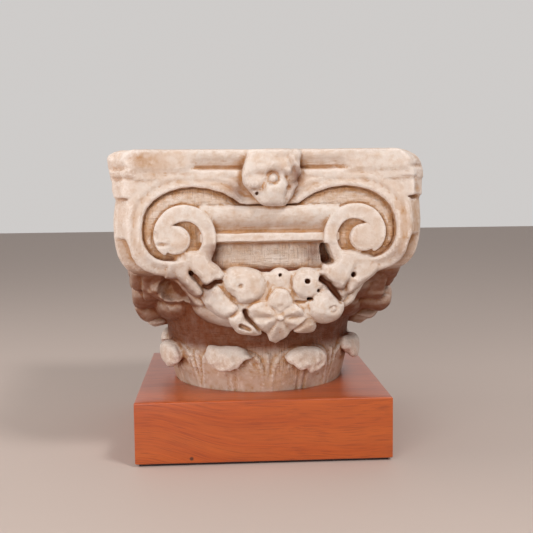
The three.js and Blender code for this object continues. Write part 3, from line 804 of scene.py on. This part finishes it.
for layer, spots in ((dirt_and_shade, shadow_and_dirt_spots), (ochre, ochre_spots)):
    for across_at, level_at, half_across, half_level, amount in spots:
        layer += amount * (hump(a_at - across_at, half_across, z_at - level_at, half_level) * on_front)
# painted shade and dirt in the hollows low on the bell, between the leaves
dirt_and_shade += 0.35 * on_bell * ramp(150.0, 120.0, z_at) * ramp(0.52, 0.66, wide_share)
ochre += 0.44 * ramp(160.0, 130.0, z_at)
scratch = from_line([(71, 412), (80, 405), (90, 396)], a_at, z_at)
wear_and_highlight = ramp(0.47, 0.36, near_share) * (1.0 - np.clip(1.3 * dirt_and_shade, 0.0, 1.0))
# painted highlight: the upper part of the left front corner, which faces the light, made paler
wear_and_highlight += 0.6 * ramp(0.0, 30.0, -a_at + o_at - 255 * math.sqrt(2)) * ramp(290.0, 330.0, z_at)
wear_and_highlight += hump(scratch, 1.6) * on_front
# lighter patch on the right front corner of the abacus, and lighter leaf tips below
wear_and_highlight += 0.8 * hump(a_at - 193.0, 14.0, z_at - 393.0, 20.0) * ramp(150.0, 170.0, o_at)
wear_and_highlight += 0.55 * ramp(5.0, 10.0, axis_at - bell_at) * ramp(112.0, 122.0, z_at) * ramp(162.0, 156.0, z_at)
bed = ramp(top_level - 1.6, top_level - 0.6, z_at)
for name, values, bed_value in (
        ("dirt_and_shade", dirt_and_shade, 0.05), ("ochre", ochre, 0.3), ("wear_and_highlight", wear_and_highlight, 0.15), ("tooled", tooled, 0.4)):
    values = np.clip(values, 0.0, 1.0) * (1.0 - bed) + bed_value * bed
    layer = capital_mesh.attributes.new(name, "FLOAT", "POINT")
    layer.data.foreach_set("value", values.astype(np.float32))


def new_finish(name):
    """A new material, with its nodes and its surface shader."""
    finish = bpy.data.materials.new(name)
    finish.use_nodes = True
    return finish, finish.node_tree, finish.node_tree.nodes["Principled BSDF"]


def noise_of(tree, source, scale, detail, rough=0.5, stretch=None):
    """Noise texture on object coordinates, stretched along the axes when told."""
    texture = tree.nodes.new("ShaderNodeTexNoise")
    for name, value in (("Scale", scale), ("Detail", detail), ("Roughness", rough)):
        texture.inputs[name].default_value = value
    if stretch:
        mapping = tree.nodes.new("ShaderNodeMapping")
        mapping.inputs["Scale"].default_value = stretch
        tree.links.new(source, mapping.inputs["Vector"])
        source = mapping.outputs["Vector"]
    tree.links.new(source, texture.inputs["Vector"])
    return texture.outputs["Fac"]


def reading(tree, source, low, high, to_low=0.0, to_high=1.0):
    """A value read off between two bounds and clamped."""
    span = tree.nodes.new("ShaderNodeMapRange")
    for name, value in zip(("From Min", "From Max", "To Min", "To Max"), (low, high, to_low, to_high)):
        span.inputs[name].default_value = value
    tree.links.new(source, span.inputs["Value"])
    return span.outputs["Result"]


def mixed(tree, share, first, second):
    """Colour between two, by a share; a colour may be a value or another node's output."""
    mix = tree.nodes.new("ShaderNodeMix")
    mix.data_type = "RGBA"
    tree.links.new(share, mix.inputs["Factor"])
    for socket, colour in ((mix.inputs[6], first), (mix.inputs[7], second)):
        if isinstance(colour, tuple):
            socket.default_value = (*colour, 1.0)
        else:
            tree.links.new(colour, socket)
    return mix.outputs[2]


def worked(tree, kind, first, second, places=False):
    """Two values, or two places, brought together by a sum, a product or a distance."""
    node = tree.nodes.new("ShaderNodeVectorMath" if places else "ShaderNodeMath")
    node.operation = kind
    for socket, value in zip(node.inputs, (first, second)):
        if isinstance(value, (float, tuple)):
            socket.default_value = value
        else:
            tree.links.new(value, socket)
    return node.outputs[1 if kind == "DISTANCE" else 0]


def attribute(tree, name):
    """A value kept on the mesh's vertices."""
    node = tree.nodes.new("ShaderNodeAttribute")
    node.attribute_name = name
    return node.outputs["Fac"]


def press_in(tree, height, strength, distance, shader):
    """Gives the shader's surface the unevenness of a height."""
    bump = tree.nodes.new("ShaderNodeBump")
    bump.inputs["Strength"].default_value = strength
    bump.inputs["Distance"].default_value = distance
    tree.links.new(height, bump.inputs["Height"])
    tree.links.new(bump.outputs["Normal"], shader.inputs["Normal"])


marble, tree, shader = new_finish("marble")
shader.inputs["Roughness"].default_value = 0.62
shader.inputs["Specular IOR Level"].default_value = 0.25
spot = tree.nodes.new("ShaderNodeTexCoord").outputs["Object"]
broad = noise_of(tree, spot, 14.0, 3.0)
fine = noise_of(tree, spot, 90.0, 5.0, 0.65)
speckle = noise_of(tree, spot, 420.0, 3.0, 0.7)
patches = noise_of(tree, spot, 36.0, 4.0, 0.6)
colour = mixed(tree, reading(tree, broad, 0.35, 0.68), (0.76, 0.675, 0.615), (0.71, 0.58, 0.495))
colour = mixed(tree, reading(tree, patches, 0.48, 0.68, 0.0, 0.6), colour, (0.68, 0.50, 0.385))
colour = mixed(tree, reading(tree, fine, 0.46, 0.72, 0.0, 0.6), colour, (0.58, 0.385, 0.25))
for name, texture, bounds, stain in (
    ("ochre", fine, (0.30, 0.62, 0.6, 1.0), (0.47, 0.24, 0.10)),
    # the brown colour holds painted shade as well as the dirt's own brown
    ("dirt_and_shade", fine, (0.28, 0.6, 0.88, 1.0), (0.172, 0.047, 0.016)),
    # the pale colour serves the worn edges and the painted highlight on the left corner
    ("wear_and_highlight", speckle, (0.35, 0.6, 0.35, 0.85), (0.85, 0.75, 0.69)),
):
    share = worked(tree, "MULTIPLY", attribute(tree, name), reading(tree, texture, *bounds))
    colour = mixed(tree, share, colour, stain)
tree.links.new(colour, shader.inputs["Base Color"])

tool_lines = noise_of(tree, spot, 1.0, 1.0, 0.5, (420.0, 30.0, 60.0))
tool_rows = noise_of(tree, spot, 1.0, 1.0, 0.5, (60.0, 30.0, 420.0))
tooling = worked(tree, "MULTIPLY", worked(tree, "ADD", tool_lines, tool_rows), attribute(tree, "tooled"))
grit = worked(tree, "ADD", worked(tree, "MULTIPLY", fine, 0.7), worked(tree, "MULTIPLY", speckle, 0.3))
height = worked(tree, "ADD", grit, worked(tree, "MULTIPLY", tooling, 2.0))
press_in(tree, height, 0.55, 0.0035, shader)

capital_mesh.materials.clear()
capital_mesh.materials.append(marble)
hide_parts("marble_capital")
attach(capital, "root")

# The wooden block
# A plain block of varnished hardwood with eased edges. The capital stands in a round recess in its top.
block_low, block_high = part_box("wooden_base")
half_wide = (block_high[0] - block_low[0]) / 2 * 1000
bottom, top = block_low[2] * 1000, block_high[2] * 1000
seat_radius, seat_depth, ease = 126.0, 20.0, 2.2
round_count = 256
turns = np.linspace(0.0, 2 * math.pi, round_count, endpoint=False)
circle = np.stack([np.cos(turns), np.sin(turns)], 1)
square = circle / np.abs(circle).max(1)[:, None]


def ring_at(shape, radius, level):
    """One ring of the block: a circle or a square of the radius given, at a level."""
    return np.concatenate([shape * radius, np.full((round_count, 1), level)], 1)


rings = [ring_at(circle, radius, level) for radius, level in (
    (60.0, top - seat_depth), (seat_radius - 1.5, top - seat_depth),
    (seat_radius, top - seat_depth + 1.5), (seat_radius, top - 1.0),
    (seat_radius + 0.3, top - 0.3), (seat_radius + 1.0, top))]
for share in (0.2, 0.5, 0.8):
    rings.append(ring_at(circle, seat_radius + 1.0, top) * (1 - share)
                 + ring_at(square, half_wide - ease, top) * share)
for turn in np.linspace(0.0, math.pi / 2, 5):
    eased_half, eased_level = half_wide - ease * (1 - math.sin(turn)), top - ease * (1 - math.cos(turn))
    rings.append(ring_at(square, eased_half, eased_level))
for share in (0.25, 0.5, 0.75):
    rings.append(ring_at(square, half_wide, top - ease + (bottom - top + 2 * ease) * share))
for turn in np.linspace(math.pi / 2, 0.0, 5):
    eased_half, eased_level = half_wide - ease * (1 - math.sin(turn)), bottom + ease * (1 - math.cos(turn))
    rings.append(ring_at(square, eased_half, eased_level))
points = np.concatenate(rings + [[(0, 0, top - seat_depth), (0, 0, bottom)]]) / 1000
neighbours = [(n, (n + 1) % round_count) for n in range(round_count)]
last = (len(rings) - 1) * round_count
faces = []
for low in range(0, last, round_count):
    high = low + round_count
    faces += [(low + n, high + n, high + m, low + m) for n, m in neighbours]
for n, m in neighbours:
    faces.append((len(points) - 2, n, m))
    faces.append((len(points) - 1, last + m, last + n))
block_mesh = bpy.data.meshes.new("wooden_block")
block_mesh.from_pydata(points.tolist(), [], faces)
block_mesh.polygons.foreach_set("use_smooth", np.ones(len(faces), bool))
block_mesh.update()
block_mesh.set_sharp_from_angle(angle=math.radians(40))
block = put_in("wooden_block", block_mesh)

wood, tree, shader = new_finish("varnished_wood")
spot = tree.nodes.new("ShaderNodeTexCoord").outputs["Object"]
sway = noise_of(tree, spot, 7.0, 1.0).node.outputs["Color"]
sway = worked(tree, "MULTIPLY", sway, (0.02, 0.02, 0.02), places=True)
swayed = worked(tree, "ADD", spot, sway, places=True)
from_swirl = worked(tree, "DISTANCE", spot, (-0.165, -0.175, 0.012), places=True)
swirl_bend = reading(tree, from_swirl, 0.0, 0.14, -0.045, 0.0)
swirl_bend.node.interpolation_type = "SMOOTHSTEP"
lifted = tree.nodes.new("ShaderNodeCombineXYZ")
tree.links.new(swirl_bend, lifted.inputs["Z"])
swayed = worked(tree, "ADD", swayed, lifted.outputs["Vector"], places=True)
from_knot = worked(tree, "DISTANCE", spot, (-0.099, -0.175, 0.010), places=True)
grain = noise_of(tree, swayed, 1.0, 4.0, 0.6, (5.0, 170.0, 300.0))
figure = noise_of(tree, swayed, 1.0, 2.0, 0.5, (2.0, 30.0, 40.0))
pores = noise_of(tree, swayed, 1.0, 3.0, 0.6, (26.0, 420.0, 640.0))
colour = mixed(tree, reading(tree, grain, 0.3, 0.7), (0.51, 0.088, 0.008), (0.37, 0.056, 0.005))
colour = mixed(tree, reading(tree, figure, 0.4, 0.7, 0.0, 0.55), colour, (0.56, 0.120, 0.014))
colour = mixed(tree, reading(tree, pores, 0.50, 0.68, 0.0, 0.6), colour, (0.24, 0.036, 0.006))
colour = mixed(tree, reading(tree, from_knot, 0.0016, 0.0034, 0.9, 0.0), colour, (0.05, 0.012, 0.004))
tree.links.new(colour, shader.inputs["Base Color"])
shader.inputs["Roughness"].default_value = 0.38
shader.inputs["Coat Weight"].default_value = 0.5
shader.inputs["Coat Roughness"].default_value = 0.3
press_in(tree, grain, 0.15, 0.0006, shader)
block_mesh.materials.append(wood)
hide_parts("wooden_base")
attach(block, "root")

# Floor and light
floor_corners = np.array([(-6, -6, 0), (6, -6, 0), (6, 6, 0), (-6, 6, 0)], float)
floor = put_in("floor", mesh_from("floor", floor_corners, np.array([(0, 1, 2, 3)])))
floor_finish, tree, shader = new_finish("floor")
shader.inputs["Base Color"].default_value = (0.56, 0.46, 0.41, 1)
shader.inputs["Roughness"].default_value = 0.7
floor.data.materials.append(floor_finish)
for name, place, size, power, tint in (
        ("key", (1.0, -1.30, 2.25), 0.5, 28.5, (1.0, 0.995, 0.98)),
        ("side", (-1.5, 0.0, 1.5), 0.9, 9.0, (1.0, 0.98, 0.95)),
        ("fill", (-1.0, -2.1, 0.85), 1.3, 28.0, (1.0, 0.985, 0.96))):
    light_data = bpy.data.lights.new(name, "AREA")
    light_data.size = size
    light_data.energy = power
    light_data.color = tint
    light = put_in(name, light_data)
    light.location = place
    light.rotation_euler = (Vector((0, 0, 0.25)) - Vector(place)).to_track_quat("-Z", "Y").to_euler()
world = bpy.data.worlds.new("world")
world.use_nodes = True
tree = world.node_tree
background = tree.nodes["Background"]
background.inputs[0].default_value = (1.0, 0.97, 0.95, 1)
sky_place = tree.nodes.new("ShaderNodeTexCoord")
sky_split = tree.nodes.new("ShaderNodeSeparateXYZ")
tree.links.new(sky_place.outputs["Generated"], sky_split.inputs[0])
sky_strength = reading(tree, sky_split.outputs["Y"], -0.1, 0.7, 0.30, 0.62)
tree.links.new(sky_strength, background.inputs["Strength"])
bpy.context.scene.world = world
